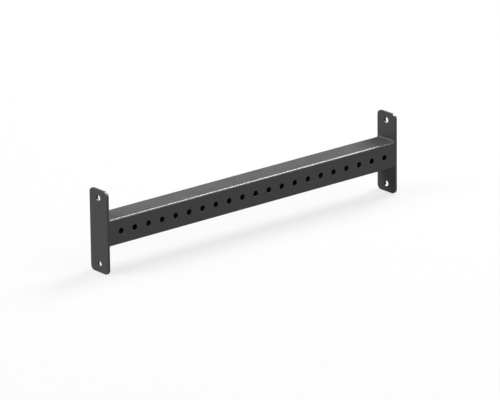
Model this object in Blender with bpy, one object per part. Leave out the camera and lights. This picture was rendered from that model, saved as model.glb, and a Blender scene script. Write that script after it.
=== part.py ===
"""Cross-member beam of a pull-up rig: a perforated square tube with a welded flange plate at each end.

Frame: origin on the axis of the middle hole, at the centre of the tube.
+X runs along the beam, -Y is the front, +Z is up. Units are metres.

The beam is a rigid weldment. The tube is cold formed, so its outer corner radius is twice its wall.
Each flange plate is flush with the tube's front and back faces, and stands past its top and bottom.
Fillet beads join the plate to the tube above and below, and groove welds ground flush join it in
front and behind. Pieces that touch on the real beam keep a small gap here.
"""

import math

import bmesh
import bpy
from mathutils import Matrix, Vector

# Row of holes through the tube's front and back walls
HOLE_PITCH = 0.050
HOLE_COUNT = 21
HOLE_DIAMETER = 0.017

# Cold-formed square tube
TUBE_SIDE = 0.080
TUBE_WALL = 0.003
TUBE_CORNER = 2 * TUBE_WALL
SEAM_WIDTH = 0.004
SEAM_HEIGHT = 0.0008

# Flange plates
OVERALL_LENGTH = (HOLE_COUNT + 1) * HOLE_PITCH
PLATE_THICKNESS = 0.008
PLATE_WIDTH = TUBE_SIDE
PLATE_HEIGHT = 0.250
PLATE_CORNER = 0.015
BOLT_HOLE_DIAMETER = 0.018
BOLT_HOLE_SPACING = 0.200

# Welds
FILLET_LEG = 0.005
FILLET_CROWN = 0.0008
FILLET_LENGTH = PLATE_WIDTH - 0.001
FILLET_END = 0.003
GROOVE_DEPTH = 0.0025

# Space left between pieces that touch
GAP = 0.0003

# Fineness of the curved faces
CORNER_SEGMENTS = 6
SEAM_SEGMENTS = 6
HOLE_SEGMENTS = 24
BOLT_HOLE_SEGMENTS = 32
FILLET_SEGMENTS = 6
FILLET_END_STATIONS = 4
SMOOTH_ANGLE = math.radians(30)

# How far a cutter runs past the face that it cuts
OVERCUT = 0.002

# Black powder coat
COAT_COLOUR = (0.02, 0.02, 0.02, 1.0)
COAT_ROUGHNESS = 0.42

TUBE_LENGTH = OVERALL_LENGTH - 2 * PLATE_THICKNESS
PLATE_FACE_X = TUBE_LENGTH / 2
TUBE_END_X = PLATE_FACE_X - GAP
HALF_SIDE = TUBE_SIDE / 2
FLAT_HALF = HALF_SIDE - TUBE_CORNER


def clear_scene():
    """Remove whatever the scene holds."""
    for obj in list(bpy.data.objects):
        bpy.data.objects.remove(obj, do_unlink=True)


def powder_coat(name):
    """Return a black powder-coat material for one piece."""
    material = bpy.data.materials.new(name + "_coat")
    material.use_nodes = True
    shader = material.node_tree.nodes["Principled BSDF"]
    shader.inputs["Base Color"].default_value = COAT_COLOUR
    shader.inputs["Roughness"].default_value = COAT_ROUGHNESS
    shader.inputs["Metallic"].default_value = 0.0
    return material


def mesh_from(bm, name):
    """Turn a bmesh into a mesh with outward faces and smooth round stretches."""
    bmesh.ops.recalc_face_normals(bm, faces=bm.faces)
    mesh = bpy.data.meshes.new(name)
    bm.to_mesh(mesh)
    bm.free()
    mesh.shade_smooth()
    mesh.set_sharp_from_angle(angle=SMOOTH_ANGLE)
    return mesh


def add_piece(name, mesh, parent, location=(0, 0, 0), rotation=(0, 0, 0)):
    """Add a named piece of the beam, with a material of its own."""
    piece = bpy.data.objects.new(name, mesh)
    bpy.context.scene.collection.objects.link(piece)
    piece.location = location
    piece.rotation_euler = rotation
    piece.parent = parent
    if not mesh.materials:
        mesh.materials.append(None)
    piece.material_slots[0].link = "OBJECT"
    piece.material_slots[0].material = powder_coat(name)
    return piece


def add_cutter(name, mesh, parent, target):
    """Cut the target with a hidden cutter."""
    cutter = bpy.data.objects.new(name, mesh)
    bpy.context.scene.collection.objects.link(cutter)
    cutter.parent = parent
    cutter.display_type = "WIRE"
    cutter.hide_render = True
    cut = target.modifiers.new(name, "BOOLEAN")
    cut.operation = "DIFFERENCE"
    cut.solver = "EXACT"
    cut.object = cutter


def rounded_rectangle(width, height, radius):
    """Return the outline of a rectangle with round corners, anticlockwise, as (u, v) points."""
    outline = []
    centres = [(1, 1), (-1, 1), (-1, -1), (1, -1)]
    for quarter, (sign_u, sign_v) in enumerate(centres):
        centre_u = sign_u * (width / 2 - radius)
        centre_v = sign_v * (height / 2 - radius)
        for step in range(CORNER_SEGMENTS + 1):
            angle = math.pi / 2 * (quarter + step / CORNER_SEGMENTS)
            outline.append((centre_u + radius * math.cos(angle), centre_v + radius * math.sin(angle)))
    return outline


def tube_bore():
    """Return the tube's inner outline, with the low ridge of its seam weld along the floor."""
    side = TUBE_SIDE - 2 * TUBE_WALL
    outline = rounded_rectangle(side, side, TUBE_CORNER - TUBE_WALL)
    seam = []
    for step in range(SEAM_SEGMENTS + 1):
        share = step / SEAM_SEGMENTS
        rise = SEAM_HEIGHT * math.sin(math.pi * share)
        seam.append(((share - 0.5) * SEAM_WIDTH, -side / 2 + rise))
    floor_start = 3 * (CORNER_SEGMENTS + 1)
    return outline[:floor_start] + seam + outline[floor_start:]


def closed_loop(bm, outline, x):
    """Add an outline of (y, z) points at one x, and return its edges."""
    verts = [bm.verts.new((x, y, z)) for y, z in outline]
    return [bm.edges.new((verts[i - 1], verts[i])) for i in range(len(verts))]


def extruded_along_x(outlines, low, high):
    """Return a bmesh of the region between closed (y, z) outlines, extruded from low to high."""
    bm = bmesh.new()
    edges = []
    for outline in outlines:
        edges += closed_loop(bm, outline, low)
    bmesh.ops.triangle_fill(bm, use_beauty=True, use_dissolve=False, edges=edges)
    swept = bmesh.ops.extrude_face_region(bm, geom=bm.faces[:])
    moved = [item for item in swept["geom"] if isinstance(item, bmesh.types.BMVert)]
    bmesh.ops.translate(bm, vec=(high - low, 0, 0), verts=moved)
    return bm


def add_prism(bm, corners, low, high):
    """Add a closed prism of (x, y) corners between two heights."""
    bottom = [bm.verts.new((x, y, low)) for x, y in corners]
    face = bm.faces.new(bottom)
    swept = bmesh.ops.extrude_face_region(bm, geom=[face])
    moved = [item for item in swept["geom"] if isinstance(item, bmesh.types.BMVert)]
    bmesh.ops.translate(bm, vec=(0, 0, high - low), verts=moved)


def add_cylinder(bm, diameter, length, segments, centre, axis):
    """Add a closed cylinder with its middle at the centre."""
    turn = Vector((0, 0, 1)).rotation_difference(Vector(axis)).to_matrix().to_4x4()
    bmesh.ops.create_cone(
        bm,
        cap_ends=True,
        segments=segments,
        radius1=diameter / 2,
        radius2=diameter / 2,
        depth=length,
        matrix=Matrix.Translation(centre) @ turn,
    )


def hole_positions():
    """Return the x of each hole in the row."""
    first = -(HOLE_COUNT - 1) / 2 * HOLE_PITCH
    return [first + i * HOLE_PITCH for i in range(HOLE_COUNT)]


def row_hole_cutter():
    """Return the drills of the row, each long enough to pass through both walls."""
    bm = bmesh.new()
    length = TUBE_SIDE + 2 * OVERCUT
    for x in hole_positions():
        add_cylinder(bm, HOLE_DIAMETER, length, HOLE_SEGMENTS, (x, 0, 0), (0, 1, 0))
    return mesh_from(bm, "row_hole_cutter")


def groove_cutter():
    """Return the wedges that bevel the tube's ends for the groove welds."""
    bm = bmesh.new()
    reach = GROOVE_DEPTH + 2 * OVERCUT
    for side_x in (-1, 1):
        for side_y in (-1, 1):
            corner = (TUBE_END_X + OVERCUT, HALF_SIDE + OVERCUT)
            wedge = [corner, (corner[0] - reach, corner[1]), (corner[0], corner[1] - reach)]
            add_prism(bm, [(side_x * x, side_y * y) for x, y in wedge], -FLAT_HALF, FLAT_HALF)
    return mesh_from(bm, "groove_cutter")


def make_tube(beam):
    """Make the perforated tube."""
    outer = rounded_rectangle(TUBE_SIDE, TUBE_SIDE, TUBE_CORNER)
    bm = extruded_along_x([outer, tube_bore()], -TUBE_END_X, TUBE_END_X)
    tube = add_piece("beam_tube", mesh_from(bm, "beam_tube"), beam)
    add_cutter("row_hole_cutter", row_hole_cutter(), beam, tube)
    add_cutter("groove_cutter", groove_cutter(), beam, tube)


def make_plates(beam):
    """Make the two flange plates, each with a bolt hole above and below the tube."""
    outline = rounded_rectangle(PLATE_WIDTH, PLATE_HEIGHT, PLATE_CORNER)
    for name, side in (("left", -1), ("right", 1)):
        middle = side * (PLATE_FACE_X + PLATE_THICKNESS / 2)
        bm = extruded_along_x([outline], middle - PLATE_THICKNESS / 2, middle + PLATE_THICKNESS / 2)
        plate = add_piece("end_plate_" + name, mesh_from(bm, "end_plate_" + name), beam)
        bm = bmesh.new()
        length = PLATE_THICKNESS + 2 * OVERCUT
        for height in (-BOLT_HOLE_SPACING / 2, BOLT_HOLE_SPACING / 2):
            centre = (middle, 0, height)
            add_cylinder(bm, BOLT_HOLE_DIAMETER, length, BOLT_HOLE_SEGMENTS, centre, (1, 0, 0))
        cutter_name = "bolt_hole_cutter_" + name
        add_cutter(cutter_name, mesh_from(bm, cutter_name), beam, plate)


def fillet_profile(size):
    """Return a fillet's section as (x, z) points from its root, scaled by size."""
    leg = (FILLET_LEG - GAP) * size
    section = [(0.0, 0.0)]
    for step in range(FILLET_SEGMENTS + 1):
        share = step / FILLET_SEGMENTS
        crown = FILLET_CROWN * size * math.sin(math.pi * share) * math.sqrt(0.5)
        section.append((-leg * (1 - share) - crown, leg * share + crown))
    return section


def fillet_stations():
    """Return (y, size) along a fillet bead, which thins out in a quarter ellipse at each end."""
    half = FILLET_LENGTH / 2
    stations = []
    for step in range(FILLET_END_STATIONS + 1):
        angle = math.pi / 2 * (step + 1) / (FILLET_END_STATIONS + 1)
        stations.append((-half + FILLET_END * (1 - math.cos(angle)), math.sin(angle)))
    return stations + [(-y, size) for y, size in reversed(stations)]


def fillet_mesh():
    """Return a fillet bead with its root along Y through the origin, for the upper right joint."""
    bm = bmesh.new()
    rings = []
    for y, size in fillet_stations():
        rings.append([bm.verts.new((x, y, z)) for x, z in fillet_profile(size)])
    for ring, following in zip(rings, rings[1:]):
        for i in range(len(ring)):
            bm.faces.new((ring[i - 1], ring[i], following[i], following[i - 1]))
    bm.faces.new(rings[0])
    bm.faces.new(rings[-1])
    return mesh_from(bm, "fillet_weld")


def groove_weld_mesh():
    """Return a ground-flush groove weld with its outer corner on the Z axis, for the front right."""
    leg = GROOVE_DEPTH - GAP * math.sqrt(2)
    half = FLAT_HALF - GAP
    bm = bmesh.new()
    add_prism(bm, [(0, 0), (0, leg), (-leg, 0)], -half, half)
    return mesh_from(bm, "groove_weld")


def make_welds(beam):
    """Make the four beads at each end, turned from the ones of the right end."""
    fillet = fillet_mesh()
    groove = groove_weld_mesh()
    turns = {"right": ((0, 0, 0), (math.pi, 0, 0)), "left": ((0, 0, math.pi), (math.pi, 0, math.pi))}
    for end, (upright, upside_down) in turns.items():
        x = TUBE_END_X if end == "right" else -TUBE_END_X
        height = HALF_SIDE + GAP
        add_piece("weld_top_" + end, fillet, beam, (x, 0, height), upright)
        add_piece("weld_bottom_" + end, fillet, beam, (x, 0, -height), upside_down)
        front_turn = upright if end == "right" else upside_down
        back_turn = upside_down if end == "right" else upright
        add_piece("weld_front_" + end, groove, beam, (x, -HALF_SIDE, 0), front_turn)
        add_piece("weld_back_" + end, groove, beam, (x, HALF_SIDE, 0), back_turn)


def main():
    clear_scene()
    beam = bpy.data.objects.new("cross_member", None)
    bpy.context.scene.collection.objects.link(beam)
    make_tube(beam)
    make_plates(beam)
    make_welds(beam)
    bpy.context.view_layer.update()


main()
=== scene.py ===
import math

import bmesh
import bpy
from mathutils import Matrix, Vector, noise


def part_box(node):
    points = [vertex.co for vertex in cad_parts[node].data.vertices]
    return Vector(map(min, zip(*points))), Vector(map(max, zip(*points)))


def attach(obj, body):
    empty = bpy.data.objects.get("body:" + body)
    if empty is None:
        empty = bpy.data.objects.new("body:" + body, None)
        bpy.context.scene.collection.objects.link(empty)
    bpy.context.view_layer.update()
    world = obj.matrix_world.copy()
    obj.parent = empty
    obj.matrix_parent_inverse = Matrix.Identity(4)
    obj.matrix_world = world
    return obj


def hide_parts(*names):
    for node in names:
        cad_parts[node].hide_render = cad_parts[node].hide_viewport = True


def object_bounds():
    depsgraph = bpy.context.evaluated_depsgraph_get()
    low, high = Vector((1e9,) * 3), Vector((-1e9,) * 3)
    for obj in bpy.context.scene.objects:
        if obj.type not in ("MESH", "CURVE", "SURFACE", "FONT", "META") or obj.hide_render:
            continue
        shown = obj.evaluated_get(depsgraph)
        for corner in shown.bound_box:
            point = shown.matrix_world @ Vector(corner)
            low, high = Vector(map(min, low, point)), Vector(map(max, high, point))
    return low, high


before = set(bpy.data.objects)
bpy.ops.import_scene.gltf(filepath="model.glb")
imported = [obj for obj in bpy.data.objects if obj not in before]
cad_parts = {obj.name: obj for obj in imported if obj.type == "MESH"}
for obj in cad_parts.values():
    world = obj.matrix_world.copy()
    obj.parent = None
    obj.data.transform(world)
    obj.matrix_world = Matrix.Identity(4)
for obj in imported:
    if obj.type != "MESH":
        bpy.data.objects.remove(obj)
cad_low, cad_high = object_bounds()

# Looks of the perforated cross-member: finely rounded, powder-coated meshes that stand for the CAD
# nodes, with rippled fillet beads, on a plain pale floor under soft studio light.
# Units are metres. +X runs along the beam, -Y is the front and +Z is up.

# Sizes that the frame gives
tube_low, tube_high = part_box("beam_tube")
plate_low, plate_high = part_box("end_plate_right")
TUBE_SIDE = tube_high.z - tube_low.z
PLATE_FACE_X = plate_low.x
PLATE_THICKNESS = plate_high.x - plate_low.x
PLATE_WIDTH = plate_high.y - plate_low.y
PLATE_HEIGHT = plate_high.z - plate_low.z
FLOOR_Z = cad_low.z
HALF_SIDE = TUBE_SIDE / 2

# Sizes that the CAD source also states
HOLE_PITCH = 0.050
HOLE_COUNT = 21
HOLE_DIAMETER = 0.017
TUBE_WALL = 0.003
TUBE_CORNER = 2 * TUBE_WALL
SEAM_WIDTH = 0.004
SEAM_HEIGHT = 0.0008
PLATE_CORNER = 0.015
BOLT_HOLE_DIAMETER = 0.018
BOLT_HOLE_SPACING = 0.200
FILLET_LEG = 0.005
FILLET_INSET = 0.0005
FILLET_LENGTH = PLATE_WIDTH - 2 * FILLET_INSET
FLAT_HALF = HALF_SIDE - TUBE_CORNER

# Edges: laser-cut plate edges are broken by deburring, and the coat rounds the punched rims. Edges that
# turn by more than EDGE_ANGLE are rounded, and the largest faces rule the shading at them
PLATE_EDGE = 0.0006
RIM_EDGE = 0.0004
EDGE_SEGMENTS = 3
EDGE_ANGLE = math.radians(40)
LARGE_FACE_WEIGHT = 100

# Fineness of the curved faces
TUBE_CORNER_SEGMENTS = 14
PLATE_CORNER_SEGMENTS = 20
SEAM_SEGMENTS = 10
HOLE_SEGMENTS = 64

# Neighbouring faces that turn by less than this angle, in radians, are merged
LEVEL_ANGLE = 0.001

# How far the drills reach past the steel on each side
OVERCUT = 0.002

# Fillet beads: a row of shallow crescents, one for each pulse of the weld pool. Each crescent rises
# steeply at its front, over a share 1 / RIPPLE_FRONT of the pitch, and falls away behind
BEAD_STATIONS = 260
BEAD_ARC_POINTS = 16
BEAD_CROWN = 0.0007
BEAD_TAPER = 1.5
BEAD_LEAST = 0.03
BEAD_SINK = 0.0002
RIPPLE_PITCH = 0.0026
RIPPLE_HEIGHT = 0.00016
RIPPLE_BOW = 0.0018
RIPPLE_FALL = 1.5
RIPPLE_FRONT = 4
TOE_WANDER = 0.00035
TOE_WANDER_LENGTH = 0.009
PLATE_TOE_SEED = 7.3
BEAD_SEED_STEP = 10.0
FILLET_SLOPE = math.sqrt(0.5)

# Each end of a bead turns down the tube's round corner, as far as the fillet's length lets it
BEAD_TURN = math.asin((FILLET_LENGTH / 2 - FLAT_HALF) / TUBE_CORNER)

# Ground-flush groove welds
GROOVE_HALF_WIDTH = 0.0009
GROOVE_SINK = 0.00002
GROOVE_DISH = 0.00006
GROOVE_DEPTH = 0.0012
GROOVE_FACE_POINTS = 8
GROOVE_STATIONS = 80
WELD_SHARP = math.radians(60)

# Powder coat. Each noise is a scale, a detail and a roughness
CLOUD_NOISE = (22.0, 4.0, 0.55)
PEEL_NOISE = (420.0, 2.0, 0.5)
GRAIN_NOISE = (2600.0, 2.0, 0.6)
CLOUD_RANGE = (0.3, 0.7)
COAT_DARK = (0.0282, 0.0282, 0.0282, 1.0)
COAT_LIGHT = (0.0322, 0.0322, 0.0322, 1.0)
COAT_ROUGHNESS = (0.30, 0.36)
COAT_IOR = 1.5
COAT_SPECULAR = 0.25
PEEL_HEIGHT = 0.00014
GRAIN_HEIGHT = 0.000035

# The camera stands where the photograph was taken from
CAMERA_AZIMUTH = math.radians(-39.48)
CAMERA_ELEVATION = math.radians(18.83)
CAMERA_ROLL = math.radians(-0.65)
CAMERA_DISTANCE = 13.882
CAMERA_TARGET = Vector((0.0112, 0.0, -0.0327))
CAMERA_LENS = 340.9
SENSOR_WIDTH = 36.0
CAMERA_REACH = 100.0

# Studio
LIGHT_DISTANCE = 12.0
STUDIO_DIM = 0.03
BOUNCE_BELOW = 0.64
HORIZON_BLUR = 0.03
FLOOR_RADIUS = 14.0
FLOOR_SEGMENTS = 96
FLOOR_ALBEDO = 0.053
FLOOR_GLOW = 0.758
# The floor's glow fades into the backdrop's between these two distances from its middle
FLOOR_FADE = (4.0, 12.0)
BACKDROP_RADIUS = 40.0
BACKDROP_SUBDIVISIONS = 4
BACKDROP_GLOW = 0.98
# Each soft box: azimuth and elevation, how wide it looks (all in degrees), and its radiance
SOFT_BOXES = {
    "right_box": (99.5, 44.0, 30.0, 45.5),
    "left_box": (248.0, 45.0, 40.0, 16.2),
    "front_box": (25.0, 42.0, 40.0, 9.3),
    "back_box": (160.0, 52.0, 40.0, 3.0),
}


def rounded_rectangle(width, height, radius, segments):
    """Return the outline of a rectangle with round corners, anticlockwise, as (u, v) points."""
    outline = []
    centres = [(1, 1), (-1, 1), (-1, -1), (1, -1)]
    for quarter, (sign_u, sign_v) in enumerate(centres):
        centre_u = sign_u * (width / 2 - radius)
        centre_v = sign_v * (height / 2 - radius)
        for step in range(segments + 1):
            angle = math.pi / 2 * (quarter + step / segments)
            outline.append((centre_u + radius * math.cos(angle), centre_v + radius * math.sin(angle)))
    return outline


def tube_bore():
    """Return the tube's inner outline, with the low ridge of its seam weld along the floor."""
    side = TUBE_SIDE - 2 * TUBE_WALL
    outline = rounded_rectangle(side, side, TUBE_CORNER - TUBE_WALL, TUBE_CORNER_SEGMENTS)
    seam = []
    for step in range(SEAM_SEGMENTS + 1):
        share = step / SEAM_SEGMENTS
        rise = SEAM_HEIGHT * math.sin(math.pi * share)
        seam.append(((share - 0.5) * SEAM_WIDTH, -side / 2 + rise))
    floor_start = 3 * (TUBE_CORNER_SEGMENTS + 1)
    return outline[:floor_start] + seam + outline[floor_start:]


def extruded_along_x(outlines, low, high):
    """Return a bmesh of the region between closed (y, z) outlines, extruded from low to high."""
    bm = bmesh.new()
    edges = []
    for outline in outlines:
        verts = [bm.verts.new((low, y, z)) for y, z in outline]
        edges += [bm.edges.new((verts[i - 1], verts[i])) for i in range(len(verts))]
    bmesh.ops.triangle_fill(bm, use_beauty=True, use_dissolve=False, edges=edges)
    bmesh.ops.dissolve_limit(bm, angle_limit=LEVEL_ANGLE, verts=bm.verts[:], edges=bm.edges[:])
    swept = bmesh.ops.extrude_face_region(bm, geom=bm.faces[:])
    moved = [item for item in swept["geom"] if isinstance(item, bmesh.types.BMVert)]
    bmesh.ops.translate(bm, vec=(high - low, 0, 0), verts=moved)
    return bm


def add_object(name, bm):
    """Turn a bmesh into an object with outward faces."""
    bmesh.ops.recalc_face_normals(bm, faces=bm.faces)
    mesh = bpy.data.meshes.new(name)
    bm.to_mesh(mesh)
    bm.free()
    obj = bpy.data.objects.new(name, mesh)
    bpy.context.scene.collection.objects.link(obj)
    return obj


def drills(name, diameter, length, centres, axis):
    """Make one hidden cutter of several cylinders along an axis."""
    bm = bmesh.new()
    turn = Vector((0, 0, 1)).rotation_difference(Vector(axis)).to_matrix().to_4x4()
    for centre in centres:
        bmesh.ops.create_cone(
            bm,
            cap_ends=True,
            segments=HOLE_SEGMENTS,
            radius1=diameter / 2,
            radius2=diameter / 2,
            depth=length,
            matrix=Matrix.Translation(centre) @ turn,
        )
    cutter = add_object(name, bm)
    cutter.hide_render = True
    cutter.display_type = "WIRE"
    return cutter


def drill_and_round(obj, cutter, edge):
    """Cut the holes, round every sharp edge, and keep the flat faces shading flat."""
    cut = obj.modifiers.new("holes", "BOOLEAN")
    cut.operation = "DIFFERENCE"
    cut.solver = "EXACT"
    cut.object = cutter
    bevel = obj.modifiers.new("edges", "BEVEL")
    bevel.width = edge
    bevel.segments = EDGE_SEGMENTS
    bevel.limit_method = "ANGLE"
    bevel.angle_limit = EDGE_ANGLE
    bevel.use_clamp_overlap = False
    normals = obj.modifiers.new("normals", "WEIGHTED_NORMAL")
    normals.weight = LARGE_FACE_WEIGHT
    obj.data.shade_smooth()


def finish_piece(piece, material, *nodes):
    """Give a piece its material, ride it on the body and let it stand for its CAD nodes."""
    piece.data.materials.append(material)
    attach(piece, "root")
    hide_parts(*nodes)


def make_tube(material):
    """Make the perforated tube, which runs from plate to plate."""
    outer = rounded_rectangle(TUBE_SIDE, TUBE_SIDE, TUBE_CORNER, TUBE_CORNER_SEGMENTS)
    tube = add_object("tube", extruded_along_x([outer, tube_bore()], -PLATE_FACE_X, PLATE_FACE_X))
    first = -(HOLE_COUNT - 1) / 2 * HOLE_PITCH
    centres = [(first + i * HOLE_PITCH, 0, 0) for i in range(HOLE_COUNT)]
    cutter = drills("row_drills", HOLE_DIAMETER, TUBE_SIDE + 2 * OVERCUT, centres, (0, 1, 0))
    drill_and_round(tube, cutter, RIM_EDGE)
    finish_piece(tube, material, "beam_tube")


def make_plate(name, side, material):
    """Make one flange plate with its two bolt holes."""
    outline = rounded_rectangle(PLATE_WIDTH, PLATE_HEIGHT, PLATE_CORNER, PLATE_CORNER_SEGMENTS)
    middle = side * (PLATE_FACE_X + PLATE_THICKNESS / 2)
    low = middle - PLATE_THICKNESS / 2
    high = middle + PLATE_THICKNESS / 2
    plate = add_object("plate_" + name, extruded_along_x([outline], low, high))
    centres = [(middle, 0, z) for z in (-BOLT_HOLE_SPACING / 2, BOLT_HOLE_SPACING / 2)]
    length = PLATE_THICKNESS + 2 * OVERCUT
    cutter = drills("bolt_drills_" + name, BOLT_HOLE_DIAMETER, length, centres, (1, 0, 0))
    drill_and_round(plate, cutter, PLATE_EDGE)
    finish_piece(plate, material, "end_plate_" + name)


def ripple(along, across):
    """Return how high the bead's crescents stand at a place along it, and across it from 0 to 1."""
    bowed = along + RIPPLE_BOW * (1 - (2 * across - 1) ** 2)
    phase = (bowed / RIPPLE_PITCH) % 1.0
    front = math.sin(math.pi * min(1.0, phase * RIPPLE_FRONT) / 2)
    return RIPPLE_HEIGHT * (1 - phase) ** RIPPLE_FALL * front


def toe_wander(along, seed):
    """Return the slow wander of a bead's edge."""
    return TOE_WANDER * noise.noise(Vector((along / TOE_WANDER_LENGTH, seed, 0.0)))


def bead_section(along, size, seed):
    """Return a fillet bead's section from its root, as (x, height over the tube) points."""
    leg_on_tube = FILLET_LEG * size + toe_wander(along, seed) * size
    leg_on_plate = FILLET_LEG * size + toe_wander(along, seed + PLATE_TOE_SEED) * size
    section = [(BEAD_SINK, -BEAD_SINK)]
    for step in range(BEAD_ARC_POINTS + 1):
        across = step / BEAD_ARC_POINTS
        bulge = math.sin(math.pi * across)
        rise = (BEAD_CROWN + ripple(along, across)) * size * bulge * FILLET_SLOPE
        x = -leg_on_tube * (1 - across) - rise + BEAD_SINK * across
        height = leg_on_plate * across + rise - BEAD_SINK * (1 - across)
        section.append((x, height))
    return section


def bead_size(angle):
    """Return how full a bead is after it has turned by an angle down the tube's corner."""
    return max(BEAD_LEAST, math.cos(math.pi / 2 * angle / BEAD_TURN) ** BEAD_TAPER)


def groove_section():
    """Return a ground weld's section in the same way: its face is ground a hair below the steel."""
    section = [(-GROOVE_HALF_WIDTH, -GROOVE_DEPTH)]
    for step in range(GROOVE_FACE_POINTS + 1):
        across = step / GROOVE_FACE_POINTS
        x = (2 * across - 1) * GROOVE_HALF_WIDTH
        section.append((x, -GROOVE_SINK - GROOVE_DISH * math.sin(math.pi * across)))
    section.append((GROOVE_HALF_WIDTH, -GROOVE_DEPTH))
    return section


def add_weld(name, section, turn, stations, placement):
    """Sweep a section along one wall of the tube and down the round corners at both of its ends.

    The sweep is made with the wall's outer face as Z = 0 and then placed. The section is a function of
    the distance along the wall and of the angle turned, and turn is the angle where the weld stops.
    """
    bm = bmesh.new()
    reach = FLAT_HALF + TUBE_CORNER * turn
    rings = []
    for step in range(stations + 1):
        along = -reach * math.cos(math.pi * step / stations)
        angle = max(0.0, abs(along) - FLAT_HALF) / TUBE_CORNER
        ring = []
        for x, height in section(along, angle):
            out = min(abs(along), FLAT_HALF) + (TUBE_CORNER + height) * math.sin(angle)
            z = (TUBE_CORNER + height) * math.cos(angle) - TUBE_CORNER
            ring.append(bm.verts.new((x, math.copysign(out, along), z)))
        rings.append(ring)
    for ring, following in zip(rings, rings[1:]):
        for i in range(len(ring)):
            bm.faces.new((ring[i - 1], ring[i], following[i], following[i - 1]))
    bm.faces.new(rings[0])
    bm.faces.new(rings[-1])
    bmesh.ops.transform(bm, matrix=placement, verts=bm.verts)
    weld = add_object(name, bm)
    weld.data.shade_smooth()
    weld.data.set_sharp_from_angle(angle=WELD_SHARP)
    return weld


def make_bead(side_name, placement, seed, material):
    """Make one rippled fillet bead."""

    def section(along, angle):
        return bead_section(along, bead_size(angle), seed)

    bead = add_weld("bead_" + side_name, section, BEAD_TURN, BEAD_STATIONS, placement)
    finish_piece(bead, material, "weld_" + side_name)


def make_groove_weld(side_name, placement, material):
    """Make one groove weld that is ground flush and meets the beads at the corners."""

    def section(along, angle):
        return groove_section()

    turn = math.pi / 2 - BEAD_TURN
    weld = add_weld("ground_weld_" + side_name, section, turn, GROOVE_STATIONS, placement)
    finish_piece(weld, material, "weld_" + side_name)


def make_welds(material):
    """Make the four beads and the four ground welds, one on each wall at each end."""
    walls = {"top": 0.0, "bottom": math.pi, "front": math.pi / 2, "back": -math.pi / 2}
    outwards = Matrix.Translation((0, 0, HALF_SIDE))
    for end, side in (("left", -1), ("right", 1)):
        face_on = Matrix.Rotation(math.pi if side < 0 else 0.0, 4, "Z")
        for seed, (wall, angle) in enumerate(walls.items()):
            around = Matrix.Rotation(angle, 4, "X")
            placement = Matrix.Translation((side * PLATE_FACE_X, 0, 0)) @ around @ face_on @ outwards
            if wall in ("top", "bottom"):
                make_bead(wall + "_" + end, placement, BEAD_SEED_STEP * seed + side, material)
            else:
                make_groove_weld(wall + "_" + end, placement, material)


def powder_coat():
    """Return the black powder coat: near-black, semi-gloss, with orange peel and fine grain."""
    material = bpy.data.materials.new("powder_coat_black")
    material.use_nodes = True
    nodes = material.node_tree.nodes
    links = material.node_tree.links
    shader = nodes["Principled BSDF"]
    place = nodes.new("ShaderNodeTexCoord")

    def noise_node(scale, detail, roughness):
        node = nodes.new("ShaderNodeTexNoise")
        node.inputs["Scale"].default_value = scale
        node.inputs["Detail"].default_value = detail
        node.inputs["Roughness"].default_value = roughness
        links.new(place.outputs["Object"], node.inputs["Vector"])
        return node

    def mapped(source, low, high):
        node = nodes.new("ShaderNodeMapRange")
        node.inputs["From Min"].default_value = CLOUD_RANGE[0]
        node.inputs["From Max"].default_value = CLOUD_RANGE[1]
        node.inputs["To Min"].default_value = low
        node.inputs["To Max"].default_value = high
        links.new(source, node.inputs["Value"])
        return node.outputs["Result"]

    cloud = noise_node(*CLOUD_NOISE)
    tint = nodes.new("ShaderNodeMix")
    tint.data_type = "RGBA"
    tint.inputs["A"].default_value = COAT_DARK
    tint.inputs["B"].default_value = COAT_LIGHT
    links.new(cloud.outputs["Fac"], tint.inputs["Factor"])
    links.new(tint.outputs["Result"], shader.inputs["Base Color"])
    links.new(mapped(cloud.outputs["Fac"], *COAT_ROUGHNESS), shader.inputs["Roughness"])

    peel = noise_node(*PEEL_NOISE)
    grain = noise_node(*GRAIN_NOISE)
    peel_bump = nodes.new("ShaderNodeBump")
    peel_bump.inputs["Strength"].default_value = 1.0
    peel_bump.inputs["Distance"].default_value = PEEL_HEIGHT
    links.new(peel.outputs["Fac"], peel_bump.inputs["Height"])
    grain_bump = nodes.new("ShaderNodeBump")
    grain_bump.inputs["Strength"].default_value = 1.0
    grain_bump.inputs["Distance"].default_value = GRAIN_HEIGHT
    links.new(grain.outputs["Fac"], grain_bump.inputs["Height"])
    links.new(peel_bump.outputs["Normal"], grain_bump.inputs["Normal"])
    links.new(grain_bump.outputs["Normal"], shader.inputs["Normal"])
    shader.inputs["IOR"].default_value = COAT_IOR
    shader.inputs["Specular IOR Level"].default_value = COAT_SPECULAR
    return material


def pale_material(name, albedo, glow):
    """Return a matt white material that glows."""
    material = bpy.data.materials.new(name)
    material.use_nodes = True
    shader = material.node_tree.nodes["Principled BSDF"]
    shader.inputs["Base Color"].default_value = (albedo, albedo, albedo, 1.0)
    shader.inputs["Roughness"].default_value = 1.0
    shader.inputs["Specular IOR Level"].default_value = 0.0
    shader.inputs["Emission Color"].default_value = (1.0, 1.0, 1.0, 1.0)
    shader.inputs["Emission Strength"].default_value = glow
    return material


def fade_outwards(material, start, end, glow):
    """Let a material's glow change with the distance from its object's origin."""
    tree = material.node_tree
    shader = tree.nodes["Principled BSDF"]
    place = tree.nodes.new("ShaderNodeTexCoord")
    distance = tree.nodes.new("ShaderNodeVectorMath")
    distance.operation = "LENGTH"
    tree.links.new(place.outputs["Object"], distance.inputs[0])
    fade = tree.nodes.new("ShaderNodeMapRange")
    fade.interpolation_type = "SMOOTHSTEP"
    fade.inputs["From Min"].default_value = start
    fade.inputs["From Max"].default_value = end
    fade.inputs["To Min"].default_value = shader.inputs["Emission Strength"].default_value
    fade.inputs["To Max"].default_value = glow
    tree.links.new(distance.outputs["Value"], fade.inputs["Value"])
    tree.links.new(fade.outputs["Result"], shader.inputs["Emission Strength"])


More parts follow.
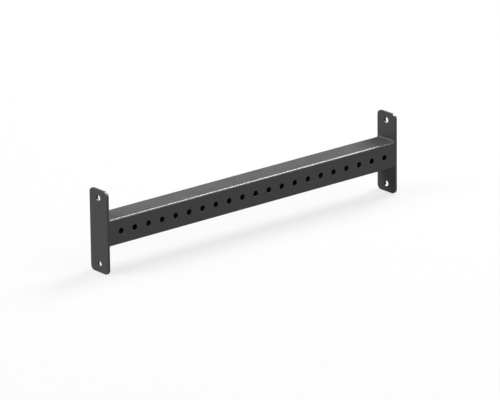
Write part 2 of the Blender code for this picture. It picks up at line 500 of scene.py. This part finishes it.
def make_floor():
    """Make the plain pale floor, which shows the beam's shadow but casts no light back on it."""
    bm = bmesh.new()
    bmesh.ops.create_circle(bm, cap_ends=True, segments=FLOOR_SEGMENTS, radius=FLOOR_RADIUS)
    floor = add_object("floor", bm)
    floor.location = (0, 0, FLOOR_Z)
    material = pale_material("pale_floor", FLOOR_ALBEDO, FLOOR_GLOW)
    fade_outwards(material, *FLOOR_FADE, BACKDROP_GLOW)
    floor.data.materials.append(material)
    floor.visible_diffuse = False
    floor.visible_glossy = False


def make_backdrop():
    """Make the pale backdrop all round, far off, which only shows and neither lights nor shades."""
    bm = bmesh.new()
    bmesh.ops.create_icosphere(bm, subdivisions=BACKDROP_SUBDIVISIONS, radius=BACKDROP_RADIUS)
    backdrop = add_object("backdrop", bm)
    backdrop.data.materials.append(pale_material("pale_backdrop", 0.0, BACKDROP_GLOW))
    backdrop.visible_diffuse = False
    backdrop.visible_glossy = False
    backdrop.visible_shadow = False


def direction(azimuth, elevation):
    """Return the unit vector towards a place round the beam: 0 is the front, 90 degrees is +X."""
    return Vector(
        (
            math.sin(azimuth) * math.cos(elevation),
            -math.cos(azimuth) * math.cos(elevation),
            math.sin(elevation),
        )
    )


def add_soft_box(name, azimuth, elevation, spread, radiance):
    """Hang one round soft box far off, facing the beam, that looks spread degrees across."""
    data = bpy.data.lights.new(name, "AREA")
    data.shape = "DISK"
    radius = LIGHT_DISTANCE * math.tan(math.radians(spread / 2))
    data.size = 2 * radius
    # A flat lamp's power is its radiance times its area times pi
    data.energy = radiance * math.pi * math.pi * radius**2
    lamp = bpy.data.objects.new(name, data)
    towards = direction(math.radians(azimuth), math.radians(elevation))
    lamp.location = LIGHT_DISTANCE * towards
    lamp.rotation_euler = towards.to_track_quat("Z", "Y").to_euler()
    bpy.context.scene.collection.objects.link(lamp)


def make_surround():
    """Make the studio's surround: dark above, where the soft boxes hang, and grey below."""
    world = bpy.data.worlds.new("studio")
    world.use_nodes = True
    tree = world.node_tree
    background = tree.nodes["Background"]
    background.inputs["Color"].default_value = (1.0, 1.0, 1.0, 1.0)
    towards = tree.nodes.new("ShaderNodeTexCoord")
    parts = tree.nodes.new("ShaderNodeSeparateXYZ")
    tree.links.new(towards.outputs["Generated"], parts.inputs["Vector"])
    horizon = tree.nodes.new("ShaderNodeMapRange")
    horizon.inputs["From Min"].default_value = -HORIZON_BLUR
    horizon.inputs["From Max"].default_value = HORIZON_BLUR
    horizon.inputs["To Min"].default_value = BOUNCE_BELOW
    horizon.inputs["To Max"].default_value = STUDIO_DIM
    tree.links.new(parts.outputs["Z"], horizon.inputs["Value"])
    tree.links.new(horizon.outputs["Result"], background.inputs["Strength"])
    bpy.context.scene.world = world


def make_light():
    """Light the beam with soft boxes: a strong one on the right, and fill from the other sides."""
    for name, (azimuth, elevation, spread, radiance) in SOFT_BOXES.items():
        add_soft_box(name, azimuth, elevation, spread, radiance)


def make_camera():
    """Place the camera at the photograph's viewing angle."""
    back = direction(CAMERA_AZIMUTH, CAMERA_ELEVATION)
    right = (-back).cross(Vector((0, 0, 1))).normalized()
    up = back.cross(right)
    basis = Matrix((right, up, back)).transposed() @ Matrix.Rotation(CAMERA_ROLL, 3, "Z")
    data = bpy.data.cameras.new("camera")
    data.sensor_width = SENSOR_WIDTH
    data.lens = CAMERA_LENS
    data.clip_end = CAMERA_REACH
    camera = bpy.data.objects.new("camera", data)
    camera.matrix_world = Matrix.Translation(CAMERA_TARGET + back * CAMERA_DISTANCE) @ basis.to_4x4()
    bpy.context.scene.collection.objects.link(camera)
    bpy.context.scene.camera = camera


coat = powder_coat()
make_tube(coat)
make_plate("left", -1, coat)
make_plate("right", 1, coat)
make_welds(coat)
make_floor()
make_backdrop()
make_surround()
make_light()
make_camera()
bpy.context.scene.view_settings.view_transform = "Standard"
